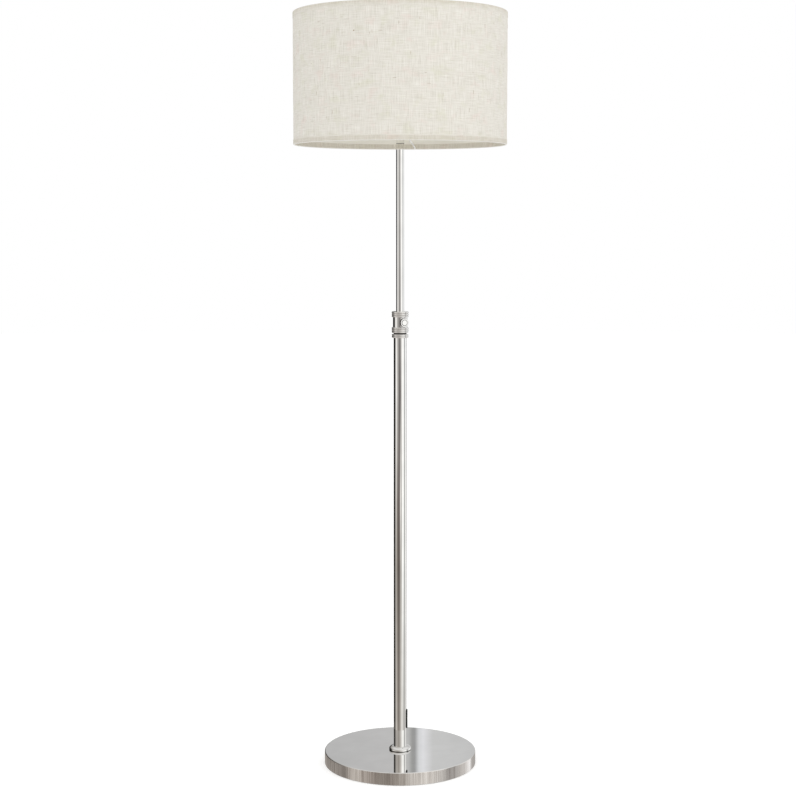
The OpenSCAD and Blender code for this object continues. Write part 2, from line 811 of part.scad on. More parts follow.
// Section of the hem tape, folded round the ring wire and over both faces of the shade
module hem_section() {
    out = shade_r - hem_t;
    // From this height the inner half leans out to the liner's face
    shoulder_z = wire_z + 1;
    polygon(concat(
        [[shade_r, hem_h]],
        arc([wire_ring_r, wire_z], fold_r, 0, -180),
        [[wire_ring_r - fold_r, shoulder_z]],
        [[hem_inner_r - hem_t, hem_step_h], [hem_inner_r - hem_t, hem_h]],
        [[hem_inner_r, hem_h], [hem_inner_r, hem_step_h - hem_t]],
        [[wire_ring_r - pocket_r, shoulder_z]],
        arc([wire_ring_r, wire_z], pocket_r, -180, 0),
        [[out, hem_h]]
    ));
}

// The tape's inner half is notched for each arm
module shade_hem_bottom() {
    notch_w = wire_d + 0.6;
    notch_depth = 8;
    color("linen") difference() {
        translate([0, 0, shade_z0]) rotate_extrude() hem_section();
        at_arms() translate([arm_end_r - notch_depth, -notch_w / 2, shade_z0 + wire_z - 0.2])
            cube([notch_depth + 0.5, notch_w, hem_step_h]);
    }
}

module shade_hem_top() {
    color("linen") translate([0, 0, shade_z1]) mirror([0, 0, 1]) rotate_extrude() hem_section();
}

base_cover();
base_weight();
base_pad();
base_stud();
base_washer();
base_nut();
foot_plug();
foot_ring();
lower_tube();
cord_gland();
ferrule();
collar();
collar_liner();
guide_bush();
upper_tube();
tube_end_plug();
tube_cap();
nipple();
screw_knob();
screw_shank();
knob_disc();
pressure_pad();
holder_cap();
holder_grub_screw();
holder_body();
shade_clamp_ring();
holder_insert();
screw_shell();
centre_contact();
side_contact();
terminal_blocks();
terminal_screws();
bulb_contact();
bulb_insulator();
bulb_cap();
bulb_globe();
shade_linen();
shade_liner();
shade_spider();
shade_ring_bottom();
shade_ring_top();
shade_hem_bottom();
shade_hem_top();
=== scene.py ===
"""Telescopic floor lamp: weighted chrome foot, two-part chrome stem, drum shade of linen.

The file follows the lamp from the floor up. Sizes are in metres, +Z is up, -Y is the front.
"""
import json
import math

import bpy
import bmesh
from mathutils import Matrix, Vector, noise


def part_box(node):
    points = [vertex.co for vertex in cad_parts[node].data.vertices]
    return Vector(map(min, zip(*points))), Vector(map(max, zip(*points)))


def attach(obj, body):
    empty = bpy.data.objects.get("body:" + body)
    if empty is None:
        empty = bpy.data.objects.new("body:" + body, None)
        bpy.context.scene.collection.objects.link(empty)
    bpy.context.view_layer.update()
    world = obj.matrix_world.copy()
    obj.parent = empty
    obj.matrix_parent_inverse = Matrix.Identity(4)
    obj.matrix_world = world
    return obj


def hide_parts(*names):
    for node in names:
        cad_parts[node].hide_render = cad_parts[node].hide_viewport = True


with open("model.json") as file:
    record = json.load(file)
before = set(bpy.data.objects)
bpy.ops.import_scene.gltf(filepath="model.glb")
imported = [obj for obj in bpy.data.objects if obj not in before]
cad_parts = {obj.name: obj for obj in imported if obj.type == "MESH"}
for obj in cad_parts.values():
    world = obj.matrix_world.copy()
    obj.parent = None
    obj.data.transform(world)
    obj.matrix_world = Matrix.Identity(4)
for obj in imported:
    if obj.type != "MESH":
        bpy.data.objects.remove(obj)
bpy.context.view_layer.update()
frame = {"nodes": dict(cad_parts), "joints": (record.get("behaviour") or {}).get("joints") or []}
nodes = frame["nodes"]
MM = 0.001


# ---- Foot: cast weight, felt pad, stud, washer, nut and plug ----
# The weight is a grey iron casting, left as it came out of the sand and painted black. A felt disc is
# glued under it. A zinc-plated stud, washer and nut pull the plug in the stem's foot down on to it.

grain_low, grain_high = 0.3, 0.7  # nearly all of a grain's values lie between these


def linear(code):
    """An sRGB hex colour as the linear values that a shader takes."""
    parts = [int(code[i:i + 2], 16) / 255 for i in (1, 3, 5)]
    return tuple(p / 12.92 if p <= 0.04045 else ((p + 0.055) / 1.055) ** 2.4 for p in parts) + (1.0,)


def add(tree, kind, inputs=None, stops=None, **settings):
    """Adds one node, sets it, and links or fills its inputs. A node as an input is its first output.

    stops are the (place, hex colour) pairs of a colour ramp."""
    node = tree.nodes.new(kind)
    for name, value in settings.items():
        setattr(node, name, value)
    for socket, value in (inputs or {}).items():
        if isinstance(value, bpy.types.Node):
            value = value.outputs[0]
        if isinstance(value, bpy.types.NodeSocket):
            tree.links.new(value, node.inputs[socket])
        else:
            node.inputs[socket].default_value = value
    if stops:
        elements = node.color_ramp.elements
        for element, (place, code) in zip(elements, (stops[0], stops[-1])):
            element.position, element.color = place, linear(code)
        for place, code in stops[1:-1]:
            elements.new(place).color = linear(code)
    return node


def new_finish(name):
    """A material with an empty node tree."""
    material = bpy.data.materials.new(name)
    material.use_nodes = True
    material.node_tree.nodes.clear()
    return material, material.node_tree


def end_finish(tree, **inputs):
    """Ends a finish with its shader. What is the same all over is a value on the shader's own socket."""
    shader = add(tree, "ShaderNodeBsdfPrincipled", {k.replace("_", " "): v for k, v in inputs.items()})
    add(tree, "ShaderNodeOutputMaterial", {"Surface": shader})


def grain_of(tree, size, stretch=(1, 1, 1), detail=3.0, space=None):
    """Noise whose grains measure size, longer along an axis by its stretch."""
    place = space or add(tree, "ShaderNodeTexCoord").outputs["Object"]
    scale = tuple(1 / (size * s) for s in stretch)
    mapped = add(tree, "ShaderNodeMapping", {"Vector": place, "Scale": scale})
    return add(tree, "ShaderNodeTexNoise", {"Vector": mapped, "Scale": 1.0, "Detail": detail,
                                            "Roughness": 0.55})


def mottled(name, dark, light, size, rough, relief, stretch=(1, 1, 1), **uniform):
    """A finish with a grain of one size, which shows in its colour, its gloss and its relief."""
    material, tree = new_finish(name)
    grain = grain_of(tree, size, stretch)
    broad = grain_of(tree, size * 9, stretch, 2.0)
    both = add(tree, "ShaderNodeMath", {0: grain, 1: broad}, operation="ADD")
    half = add(tree, "ShaderNodeMath", {0: both, 1: 0.5}, operation="MULTIPLY")
    colour = add(tree, "ShaderNodeValToRGB", {0: half}, [(0.38, dark), (0.62, light)])
    gloss = add(tree, "ShaderNodeMapRange", {0: broad, 1: grain_low, 2: grain_high, 3: rough[0], 4: rough[1]})
    bump = add(tree, "ShaderNodeBump", {"Height": grain, "Distance": relief, "Strength": 1.0})
    end_finish(tree, Base_Color=colour, Roughness=gloss, Normal=bump, **uniform)
    return material


def finish(material, *names):
    """Gives CAD nodes a better material."""
    for name in names:
        for place in nodes[name].material_slots:
            place.material = material


# Grey iron cast in sand: grains of half a millimetre under black paint.
cast_iron = mottled("cast iron painted black", "#1B1B1C", "#2A2A2B", 0.6 * MM, (0.5, 0.7), 0.12 * MM)
finish(cast_iron, "base_weight")

# Needled wool felt: short matted fibres and no shine.
felt = mottled("needled wool felt", "#17181A", "#2C2D30", 0.5 * MM, (0.9, 1.0), 0.25 * MM,
               (1, 3, 1), Sheen_Weight=0.3, Sheen_Roughness=0.6)
finish(felt, "base_pad")

# Turned steel with bright zinc: faint spangle, satin.
zinc = mottled("zinc plated steel", "#9B9C9A", "#BDBDB8", 0.9 * MM, (0.25, 0.42), 0.01 * MM, Metallic=1.0)
finish(zinc, "base_stud", "base_washer", "base_nut", "foot_plug")


# ---- Foot cover and the bead ring on it ----
# The cover is a disc of sheet steel, drawn over its edge, polished on top and chrome plated. Its side
# keeps upright strokes of the polishing belt. The bead ring round the stem is turned brass, plated too.

foot_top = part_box("base_cover")[1].z
foot_edge_r = 1.5 * MM
belt_from = foot_top - foot_edge_r * 0.3
belt_full = foot_top - foot_edge_r * 0.8
plate_light, plate_dark = "#F9F9F8", "#F2F2F1"


def polished_plate(name, smudge, stroke, stroke_relief, stretch, painted_shade_from=None, painted_shade_to=None):
    """Chrome plate: smudges of a few centimetres in its gloss and fine strokes of the polisher.

    It turns black from one height to another: painted shade where a joint or groove shows."""
    material, tree = new_finish(name)
    cloud = grain_of(tree, 35 * MM, detail=2.0)
    fine = grain_of(tree, stroke, stretch, 2.0)
    colour = add(tree, "ShaderNodeValToRGB", {0: cloud}, [(0.35, plate_dark), (0.65, plate_light)])
    if painted_shade_from is not None:
        # Painted shade: a black band between two heights
        place = add(tree, "ShaderNodeTexCoord").outputs["Object"]
        height = add(tree, "ShaderNodeSeparateXYZ", {0: place}).outputs["Z"]
        black = add(tree, "ShaderNodeMapRange", {0: height, 1: painted_shade_from, 2: painted_shade_to})
        colour = add(tree, "ShaderNodeMix", {0: black, 6: colour, 7: linear("#1F1D1B")},
                     data_type="RGBA").outputs[2]
    gloss = add(tree, "ShaderNodeMapRange", {0: cloud, 1: grain_low, 2: grain_high,
                                             3: smudge[0], 4: smudge[1]})
    bump = add(tree, "ShaderNodeBump", {"Height": fine, "Distance": stroke_relief, "Strength": 1.0})
    end_finish(tree, Metallic=1.0, Base_Color=colour, Roughness=gloss, Normal=bump)
    return material


def foot_plate():
    """The cover's chrome: a mirror on top, upright belt strokes on the side below the rounded edge."""
    material, tree = new_finish("chrome plate on pressed steel")
    place = add(tree, "ShaderNodeTexCoord").outputs["Object"]
    height = add(tree, "ShaderNodeSeparateXYZ", {0: place}).outputs["Z"]
    side = add(tree, "ShaderNodeMapRange", {0: height, 1: belt_full, 2: belt_from, 3: 1.0, 4: 0.0})
    cloud = grain_of(tree, 40 * MM, detail=2.0)
    # Belt strokes are finer than a tenth of a millimetre, and are drawn 0.8 and 3.5 mm wide so they show
    fine = grain_of(tree, 0.8 * MM, (1, 1, 60), 2.0)
    wide = grain_of(tree, 3.5 * MM, (1, 1, 60), 2.0)
    strokes = add(tree, "ShaderNodeMix", {0: 0.6, 2: fine, 3: wide})
    mirror = add(tree, "ShaderNodeValToRGB", {0: cloud}, [(0.3, plate_dark), (0.7, plate_light)])
    belted = add(tree, "ShaderNodeValToRGB", {0: strokes}, [
        (0.34, "#BFB9B5"), (0.5, "#E8E4E1"), (0.66, "#FFFDFC")])
    colour = add(tree, "ShaderNodeMix", {0: side, 6: mirror, 7: belted}, data_type="RGBA").outputs[2]
    mirror_gloss = add(tree, "ShaderNodeMapRange", {0: cloud, 1: grain_low, 2: grain_high, 3: 0.0, 4: 0.02})
    belt_gloss = add(tree, "ShaderNodeMapRange", {0: strokes, 1: grain_low, 2: grain_high, 3: 0.2, 4: 0.11})
    gloss = add(tree, "ShaderNodeMix", {0: side, 2: mirror_gloss, 3: belt_gloss})
    depth = add(tree, "ShaderNodeMath", {0: strokes, 1: side}, operation="MULTIPLY")
    bump = add(tree, "ShaderNodeBump", {"Height": depth, "Distance": 0.05 * MM, "Strength": 1.0})
    end_finish(tree, Metallic=1.0, Base_Color=colour, Roughness=gloss, Normal=bump)
    return material


finish(foot_plate(), "base_cover")

# Turned brass, polished by hand before plating: small waves run round the bead. A black band is painted
# low on the bead as shade in the joint under it.
ring_plate = polished_plate("chrome plate with a black joint", (0.0, 0.02), 1.5 * MM, 0.002 * MM, (6, 6, 1),
                            foot_top + 1.1 * MM, foot_top + 0.8 * MM)
finish(ring_plate, "foot_ring")


# ---- Stem: tubes, ferrule, collar, cap, liner, guide, end plug and cord gland ----
# Both tubes are welded steel tube, drawn, polished lengthwise and chrome plated. The upper one slides in
# a nylon liner at the collar and carries a nylon guide on its foot, held there by a black moulded plug.
# Ferrule, collar and cap are turned brass, plated too. A moulded gland sits in the lower tube's wall.

# Chrome on drawn tube: a clear mirror with fine lines along it. Near each tube's upper end a black band is
# painted as shade: in the groove between ferrule and collar, and in the joint under the cap.
for tube, painted_shade_depth in (("lower_tube", 2.2 * MM), ("upper_tube", 0.9 * MM)):
    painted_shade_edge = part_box(tube)[1].z - painted_shade_depth
    drawn_plate = polished_plate("chrome plate, " + tube, (0.0, 0.025), 0.9 * MM, 0.002 * MM, (1, 1, 90),
                                 painted_shade_edge - 0.3 * MM, painted_shade_edge)
    finish(drawn_plate, tube)

# Turned brass, polished by hand before plating: small waves run round each bead.
turned_plate = polished_plate("chrome plate on turned brass", (0.01, 0.04), 1.5 * MM, 0.004 * MM, (6, 6, 1))
finish(turned_plate, "ferrule", "collar", "tube_cap")

# Moulded nylon: milky, waxy, with a faint flow pattern.
nylon = mottled("moulded nylon", "#DDDBD0", "#EBEAE2", 1.2 * MM, (0.35, 0.5), 0.01 * MM,
                Subsurface_Weight=0.15, Subsurface_Radius=(2 * MM, 2 * MM, 1.5 * MM), Subsurface_Scale=1.0)
finish(nylon, "collar_liner", "guide_bush")

# Moulded black ABS: spark-eroded grain of a third of a millimetre.
black_abs = mottled("moulded black abs", "#1D1E1D", "#2B2C2A", 0.35 * MM, (0.38, 0.52), 0.02 * MM)
finish(black_abs, "cord_gland", "tube_end_plug")


# ---- Thumb screw: knurled knob with its disc, shank and pressure pad ----
# The knob is turned from brass bar, straight knurled on its rim and plated. A polished disc is pressed
# into its face. It stands on the collar's neck, a little to the right of the front. Its shank is zinc
# plated steel, with a loose brass pad on the tip.

knob_r = 8.7 * MM
knob_bore_r = 3.05 * MM
knob_back = 15.0 * MM
knob_front = 19.6 * MM
knob_edge = 0.5 * MM
knob_recess_r = 6.3 * MM
knob_recess = 0.7 * MM
knob_steps = 192
knurl_count = 60
knurl_r = 0.3 * MM
knob_core_r = knob_r - knurl_r


def placed(name, data):
    """A new object at the origin for a mesh, a lamp or a camera."""
    thing = bpy.data.objects.new(name, data)
    bpy.context.scene.collection.objects.link(thing)
    return thing


def clean(name, mesh, sharp=35):
    """An object for a mesh, with its faces outwards, smooth but for its sharp edges."""
    shell = bmesh.new()
    shell.from_mesh(mesh)
    bmesh.ops.remove_doubles(shell, verts=shell.verts, dist=0.001 * MM)
    bmesh.ops.recalc_face_normals(shell, faces=shell.faces)
    shell.to_mesh(mesh)
    shell.free()
    mesh.polygons.foreach_set("use_smooth", [True] * len(mesh.polygons))
    mesh.set_sharp_from_angle(angle=math.radians(sharp))
    return placed(name, mesh)


def turned(name, outline):
    """A closed body of revolution about Z, from an outline of (radius, height) points."""
    verts, faces = [], []
    for i in range(knob_steps):
        angle = 2 * math.pi * i / knob_steps
        verts += [(r * math.cos(angle), r * math.sin(angle), z) for r, z in outline]
    count = len(outline)
    for i in range(knob_steps):
        for j in range(count):
            here, there = i * count, (i + 1) % knob_steps * count
            faces.append((here + j, there + j, there + (j + 1) % count, here + (j + 1) % count))
    mesh = bpy.data.meshes.new(name)
    mesh.from_pydata(verts, [], faces)
    return clean(name, mesh)


def new_pattern(name, sizes):
    """A Geometry Nodes tree with one geometry in, one out, and named inputs for its sizes."""
    tree = bpy.data.node_groups.new(name, "GeometryNodeTree")
    tree.interface.new_socket("Geometry", in_out="INPUT", socket_type="NodeSocketGeometry")
    for size, kind in sizes:
        tree.interface.new_socket(size, in_out="INPUT", socket_type="NodeSocket" + kind)
    tree.interface.new_socket("Geometry", in_out="OUTPUT", socket_type="NodeSocketGeometry")
    return tree, add(tree, "NodeGroupInput").outputs


def grown(thing, tree, values):
    """Runs a pattern on an object and keeps the result as a plain mesh."""
    modifier = thing.modifiers.new(tree.name, "NODES")
    modifier.node_group = tree
    for item in tree.interface.items_tree:
        if item.in_out == "INPUT" and item.name in values:
            modifier[item.identifier] = values[item.name]
    bpy.context.view_layer.update()
    ready = thing.evaluated_get(bpy.context.evaluated_depsgraph_get())
    mesh = bpy.data.meshes.new_from_object(ready)
    thing.modifiers.remove(modifier)
    mesh.name = thing.name
    thing.data = mesh


def knurl_pattern():
    """Straight ribs side by side round the rim of a knob."""
    tree, size = new_pattern("straight knurl", [
        ("Ribs", "Int"), ("Rim radius", "Float"), ("Rib radius", "Float"), ("Rib length", "Float"),
        ("Middle", "Float"), ("Plate", "Material")])
    ring = add(tree, "GeometryNodeMeshCircle", {"Vertices": size["Ribs"], "Radius": size["Rim radius"]})
    rib = add(tree, "GeometryNodeMeshCylinder", {"Vertices": 8, "Radius": size["Rib radius"],
                                                 "Depth": size["Rib length"]})
    ribs = add(tree, "GeometryNodeInstanceOnPoints", {"Points": ring, "Instance": rib})
    lift = add(tree, "ShaderNodeCombineXYZ", {"Z": size["Middle"]})
    lifted = add(tree, "GeometryNodeTranslateInstances", {"Instances": ribs, "Translation": lift})
    solid = add(tree, "GeometryNodeRealizeInstances", {"Geometry": lifted})
    plated = add(tree, "GeometryNodeSetMaterial", {"Geometry": solid, "Material": size["Plate"]})
    add(tree, "NodeGroupOutput", {"Geometry": plated})
    return tree


screw_joint = next(joint for joint in frame["joints"] if joint["name"] == "screw_turn")
screw_lean = Vector(screw_joint["axis"]).to_track_quat("Z", "Y").to_matrix().to_4x4()
on_screw = Matrix.Translation(Vector(screw_joint["pos_m"])) @ screw_lean
screw_knob = turned("screw_knob_turned", [
    (knob_bore_r, knob_back), (knob_core_r - knob_edge, knob_back), (knob_core_r, knob_back + knob_edge),
    (knob_core_r, knob_front - knob_edge), (knob_core_r - knob_edge, knob_front),
    (knob_recess_r, knob_front), (knob_recess_r, knob_front - knob_recess),
    (knob_bore_r, knob_front - knob_recess)])
# The face is a mirror, the rim is dulled by knurling and darkened further with painted shade, and the recess
# holds painted shade in black
knob_face = polished_plate("chrome plate on a turned face", (0.02, 0.05), 1.2 * MM, 0.004 * MM, (1, 1, 1))
knob_rim = mottled("chrome plate in a knurl", "#33312F", "#5E5B58", 0.5 * MM, (0.18, 0.32), 0.01 * MM,
                   Metallic=1.0)
# Painted shade: a black finish in the recess of the knob's face
painted_recess_shade = mottled("black polishing compound", "#141312", "#26241F", 0.4 * MM, (0.5, 0.8), 0.02 * MM)
for part_finish in (knob_face, knob_rim, painted_recess_shade):
    screw_knob.data.materials.append(part_finish)
for face in screw_knob.data.polygons:
    out = math.hypot(face.center.x, face.center.y)
    if out > knob_core_r - 0.01 * MM or face.center.z < knob_back + knob_edge:
        face.material_index = 1
    elif out < knob_recess_r + 0.01 * MM:
        face.material_index = 2
screw_knob.data.transform(on_screw)
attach(screw_knob, "thumb_screw")
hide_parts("screw_knob")
finish(knob_face, "knob_disc")

knurl = placed("screw_knob_knurl", bpy.data.meshes.new("screw_knob_knurl"))
grown(knurl, knurl_pattern(), {
    "Ribs": knurl_count, "Rim radius": knob_core_r, "Rib radius": knurl_r,
    "Rib length": knob_front - knob_back - 2 * knob_edge, "Middle": (knob_front + knob_back) / 2,
    "Plate": knob_rim})
knurl.data.transform(on_screw)
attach(knurl, "thumb_screw")
finish(zinc, "screw_shank")

# Turned and stamped brass inside the lamp: yellow, with a dull bloom.
brass = mottled("turned brass", "#A98A4B", "#CDB070", 0.8 * MM, (0.2, 0.38), 0.008 * MM, Metallic=1.0)
finish(brass, "pressure_pad")


# ---- Lampholder: nipple, cap, body and clamp ring, with its porcelain and terminals ----
# The shell is moulded in an off-white thermoset and threaded outside for the ring that clamps the shade.
# A glazed porcelain insert carries the brass shell and contacts, and a brass nipple holds it on the stem.

finish(brass, "nipple", "screw_shell", "centre_contact", "side_contact", "terminal_blocks")
finish(zinc, "holder_grub_screw", "terminal_screws")

# Moulded thermoset: smooth, a little orange peel.
thermoset = mottled("moulded thermoset", "#DEDBCF", "#E8E6DC", 2.5 * MM, (0.22, 0.34), 0.015 * MM)
finish(thermoset, "holder_cap", "holder_body", "shade_clamp_ring")

# Glazed porcelain: cool white, wet gloss.
porcelain = mottled("glazed porcelain", "#E6E6E2", "#F0F0EC", 4 * MM, (0.08, 0.16), 0.01 * MM)
finish(porcelain, "holder_insert")


# ---- Bulb ----
# An ordinary bulb, screwed into the lampholder: a globe of opal glass blown in a mould, cemented into a
# cap of rolled aluminium with a black glass insulator round its contact.

# Opal glass: white through its wall, with a soft gloss and slow waves from blowing.
opal = mottled("blown opal glass", "#EFEEEA", "#F6F5F2", 14 * MM, (0.12, 0.2), 0.02 * MM,
               Subsurface_Weight=0.3, Subsurface_Radius=(6 * MM, 6 * MM, 5 * MM), Subsurface_Scale=1.0)
finish(opal, "bulb_globe")

# Rolled aluminium: bright crests, dull roots.
rolled = mottled("rolled aluminium", "#A9A9A6", "#CFCFCC", 0.7 * MM, (0.28, 0.45), 0.01 * MM, (3, 3, 1),
                 Metallic=1.0)
finish(rolled, "bulb_cap", "bulb_contact")

# Pressed black glass round the contact.
black_glass = mottled("pressed black glass", "#0E0F10", "#1A1B1C", 1.5 * MM, (0.08, 0.18), 0.02 * MM)
finish(black_glass, "bulb_insulator")


# ---- Wire frame of the shade ----
# Two rings and a spider of 3 mm steel wire, spot welded and dipped in white stove enamel. Each arm is
# welded on the lower ring, and the weld shows as a small bead under the enamel.

# Dipped enamel: thick, glossy, with sags.
enamel = mottled("white stove enamel", "#FAFAF7", "#FFFFFD", 5 * MM, (0.2, 0.32), 0.05 * MM)
finish(enamel, "shade_spider", "shade_ring_bottom", "shade_ring_top")

wire_r = 1.5 * MM
arm_count = 3
arm_turn = math.radians(81.4)
arm_rise = 1.7 * MM
weld_size = Vector((2.6, 1.7, 2.4)) * MM
weld_unevenness, weld_waviness = 0.12, 1.6
lower_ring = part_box("shade_ring_bottom")
ring_r = lower_ring[1].x - wire_r
ring_z = lower_ring[0].z + wire_r


def lump(shell, size, unevenness, waviness, shift):
    """Adds an uneven drop of the given half sizes to a mesh in the making, and returns its points."""
    points = bmesh.ops.create_icosphere(shell, subdivisions=4, radius=1.0)["verts"]
    for point in points:
        point.co *= 1 + unevenness * noise.noise(point.co * waviness + shift)
        point.co = Vector(a * b for a, b in zip(point.co, size))
    return points


welds = bmesh.new()
for i in range(arm_count):
    # Each bead fills the corner between an arm's end and the ring
    bead = lump(welds, weld_size, weld_unevenness, weld_waviness, Vector((i * 5, 0, 0)))
    set_down = Matrix.Rotation(arm_turn + 2 * math.pi * i / arm_count, 4, "Z") @ Matrix.Translation(
        (ring_r - wire_r * 0.9, 0, ring_z + arm_rise * 0.6))
    bmesh.ops.transform(welds, matrix=set_down, verts=bead)
weld_mesh = bpy.data.meshes.new("spider_welds")
welds.to_mesh(weld_mesh)
welds.free()
spider_welds = clean("spider_welds", weld_mesh)
weld_mesh.materials.append(enamel)
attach(spider_welds, "head")


# ---- Stiff liner of the shade ----
# A sheet of extruded white styrene film, cut to the drum's height and rolled into it. The linen is bonded
# to its outer face, and the hems hold its edges.

# Extruded film: satin, with faint lines along the roll and the weave of the linen pressed into it.
film = mottled("extruded styrene film", "#EFEBE0", "#F6F3E9", 2.2 * MM, (0.4, 0.55), 0.02 * MM, (8, 8, 1),
               Subsurface_Weight=0.1, Subsurface_Radius=(1 * MM, 1 * MM, 0.8 * MM), Subsurface_Scale=1.0)
finish(film, "shade_liner")


# ---- Linen skin of the drum ----
# Slubby linen in an open plain weave, cut 0.249 m high and 1.33 m long, bonded to the film and lapped
# by 14 mm at the back. Thick places in its yarns, the slubs, stand out from the cloth.

film_low, film_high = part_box("shade_liner")
bond = 0.05 * MM
linen_t = 0.6 * MM
linen_in_r = film_high.x + bond
linen_out_r = linen_in_r + linen_t
linen_rows = 24
drum_columns = 288
lap = 14 * MM
lap_ramp = 5 * MM
lap_rise = 0.5 * MM
back = math.pi / 2
cloth_waves = 0.12 * MM
waves_round, waves_up = 3, 14


def lap_lift(along, length):
    """How far the last stretch of a wrapped strip rides up over its own start."""
    start = length - lap - lap_ramp
    share = min(max((along - start) / lap_ramp, 0), 1)
    return lap_rise * share * share * (3 - 2 * share)


def wave(angle, height):
    """Slow waves in the bonded drum, outwards only, the same for the linen and the hems on it."""
    spot = Vector((math.cos(angle) * waves_round, math.sin(angle) * waves_round, height * waves_up))
    return cloth_waves * (0.5 + 0.5 * noise.noise(spot))


def wrapped(name, section, radius, start):
    """A strip of cloth wrapped once round the drum and lapped over its start.

    section is a closed outline of (radius, height); the UV map holds metres along and across the strip."""
    length = 2 * math.pi * radius + lap
    count = len(section)
    across = [0.0]
    for here, there in zip(section, section[1:] + section[:1]):
        across.append(across[-1] + math.dist(here, there))
    verts = []
    for i in range(drum_columns + 1):
        along = length * i / drum_columns
        angle = start + along / radius
        for r, z in section:
            out = r + lap_lift(along, length) + wave(angle, z)
            verts.append((out * math.cos(angle), out * math.sin(angle), z))
    faces, corners = [], []
    for i in range(drum_columns):
        u0, u1 = length * i / drum_columns, length * (i + 1) / drum_columns
        for j in range(count):
            k = (j + 1) % count
            faces.append((i * count + j, (i + 1) * count + j, (i + 1) * count + k, i * count + k))
            corners += [(u0, across[j]), (u1, across[j]), (u1, across[j + 1]), (u0, across[j + 1])]
    for i in (0, drum_columns):
        faces.append(tuple(i * count + j for j in range(count)))
        corners += [(length * i / drum_columns, across[j]) for j in range(count)]
    mesh = bpy.data.meshes.new(name)
    mesh.from_pydata(verts, [], faces)
    cloth = mesh.uv_layers.new(name="cloth")
    for loop, spot in zip(cloth.data, corners):
        loop.uv = spot
    return clean(name, mesh, 50)


def linen_cloth(name, painted_shade_tint=None, fade=None, crease=None, painted_crease_tone=None):
    """Plain weave with slubs: colour and relief run along the cloth's own threads.

    A tape is darkened from its cut edge over fade, as painted shade, and takes a painted highlight or painted
    shade where it folds, at crease."""
    material, tree = new_finish(name)
    cloth = add(tree, "ShaderNodeUVMap", uv_map="cloth").outputs[0]
    yarn_tone = add(tree, "ShaderNodeAttribute", attribute_name="yarn_tone").outputs["Fac"]
    # Threads lie 0.55 mm apart on the real cloth; they are drawn 0.8 mm apart so the weave still shows
    pitch = 0.8 * MM
    sway = grain_of(tree, 9 * MM, space=cloth, detail=2.0)
    drift = add(tree, "ShaderNodeVectorMath", {0: sway, 1: (0.7 * MM,) * 3}, operation="MULTIPLY")
    swayed = add(tree, "ShaderNodeVectorMath", {0: cloth, 1: drift}, operation="ADD")
    turns = add(tree, "ShaderNodeVectorMath", {0: swayed, 1: (math.pi / pitch,) * 3}, operation="MULTIPLY")
    split = add(tree, "ShaderNodeSeparateXYZ", {0: turns}).outputs
    across = add(tree, "ShaderNodeMath", {0: split["X"]}, operation="SINE")
    along = add(tree, "ShaderNodeMath", {0: split["Y"]}, operation="SINE")
    weave = add(tree, "ShaderNodeMath", {0: across, 1: along}, operation="MULTIPLY")
    # Thick and thin yarns: streaks 1.4 mm wide and some 30 mm long, both ways, more of them upright
    weft = grain_of(tree, 1.4 * MM, (20, 1, 1), 3.0, cloth)
    warp = grain_of(tree, 1.4 * MM, (1, 22, 1), 3.0, cloth)
    both = add(tree, "ShaderNodeMix", {0: 0.55, 2: weft, 3: warp})
    yarns = add(tree, "ShaderNodeMapRange", {0: both, 1: 0.37, 2: 0.63})
    toned = add(tree, "ShaderNodeMath", {0: yarns, 1: yarn_tone}, operation="ADD")
    streaked = add(tree, "ShaderNodeValToRGB", {0: toned}, [
        (0.0, "#DBD6CB"), (0.35, "#E7E3D9"), (0.65, "#ECE8DF"), (1.0, "#F5F2EA")])
    # Natural linen takes the bleach unevenly, in patches of a few centimetres
    patch = grain_of(tree, 34 * MM, (1, 0.8, 1), 3.0, cloth)
    tint = add(tree, "ShaderNodeValToRGB", {0: patch}, [
        (0.3, "#F9FAF4"), (0.46, "#FFFFFF"), (0.55, "#FFFFFF"), (0.7, "#FFFAFA")])
    colour = add(tree, "ShaderNodeMix", {0: 1.0, 6: streaked, 7: tint}, data_type="RGBA",
                 blend_type="MULTIPLY").outputs[2]
    # Painted shade over the tape's width, and painted light or shade along its fold
    if painted_shade_tint:
        strip = add(tree, "ShaderNodeSeparateXYZ", {0: cloth}).outputs["Y"]
        set_in = add(tree, "ShaderNodeMapRange", {0: strip, 1: 0.3 * MM, 2: fade})
        colour = add(tree, "ShaderNodeMix", {0: set_in, 6: colour, 7: linear(painted_shade_tint)}, data_type="RGBA",
                     blend_type="MULTIPLY").outputs[2]
        off = add(tree, "ShaderNodeMath", {0: strip, 1: crease}, operation="SUBTRACT")
        distance = add(tree, "ShaderNodeMath", {0: off}, operation="ABSOLUTE")
        folded = add(tree, "ShaderNodeMapRange", {0: distance, 1: 1.2 * MM, 2: 2.8 * MM, 3: 0.9, 4: 0.0})
        colour = add(tree, "ShaderNodeMix", {0: folded, 6: colour, 7: linear(painted_crease_tone)},
                     data_type="RGBA").outputs[2]
    gloss = add(tree, "ShaderNodeMapRange", {0: yarns, 1: grain_low, 2: grain_high, 3: 0.95, 4: 0.8})
    weave_bump = add(tree, "ShaderNodeBump", {"Height": weave, "Distance": 0.06 * MM, "Strength": 1.0})
    yarn_bump = add(tree, "ShaderNodeBump", {"Height": yarns, "Distance": 0.28 * MM, "Strength": 1.0,
                                             "Normal": weave_bump})
    end_finish(tree, Base_Color=colour, Roughness=gloss, Normal=yarn_bump, Sheen_Weight=0.12,
               Sheen_Roughness=0.5, Specular_IOR_Level=0.25)
    return material


linen = linen_cloth("slubby linen")
linen_h = film_high.z - film_low.z
linen_heights = [film_low.z + linen_h * i / linen_rows for i in range(linen_rows + 1)]
shade_linen = wrapped(
    "shade_linen_cloth",
    [(linen_out_r, z) for z in linen_heights] + [(linen_in_r, z) for z in reversed(linen_heights)],
    linen_out_r, back + 0.3 * lap / linen_out_r)
shade_linen.data.materials.append(linen)
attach(shade_linen, "head")
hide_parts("shade_linen")


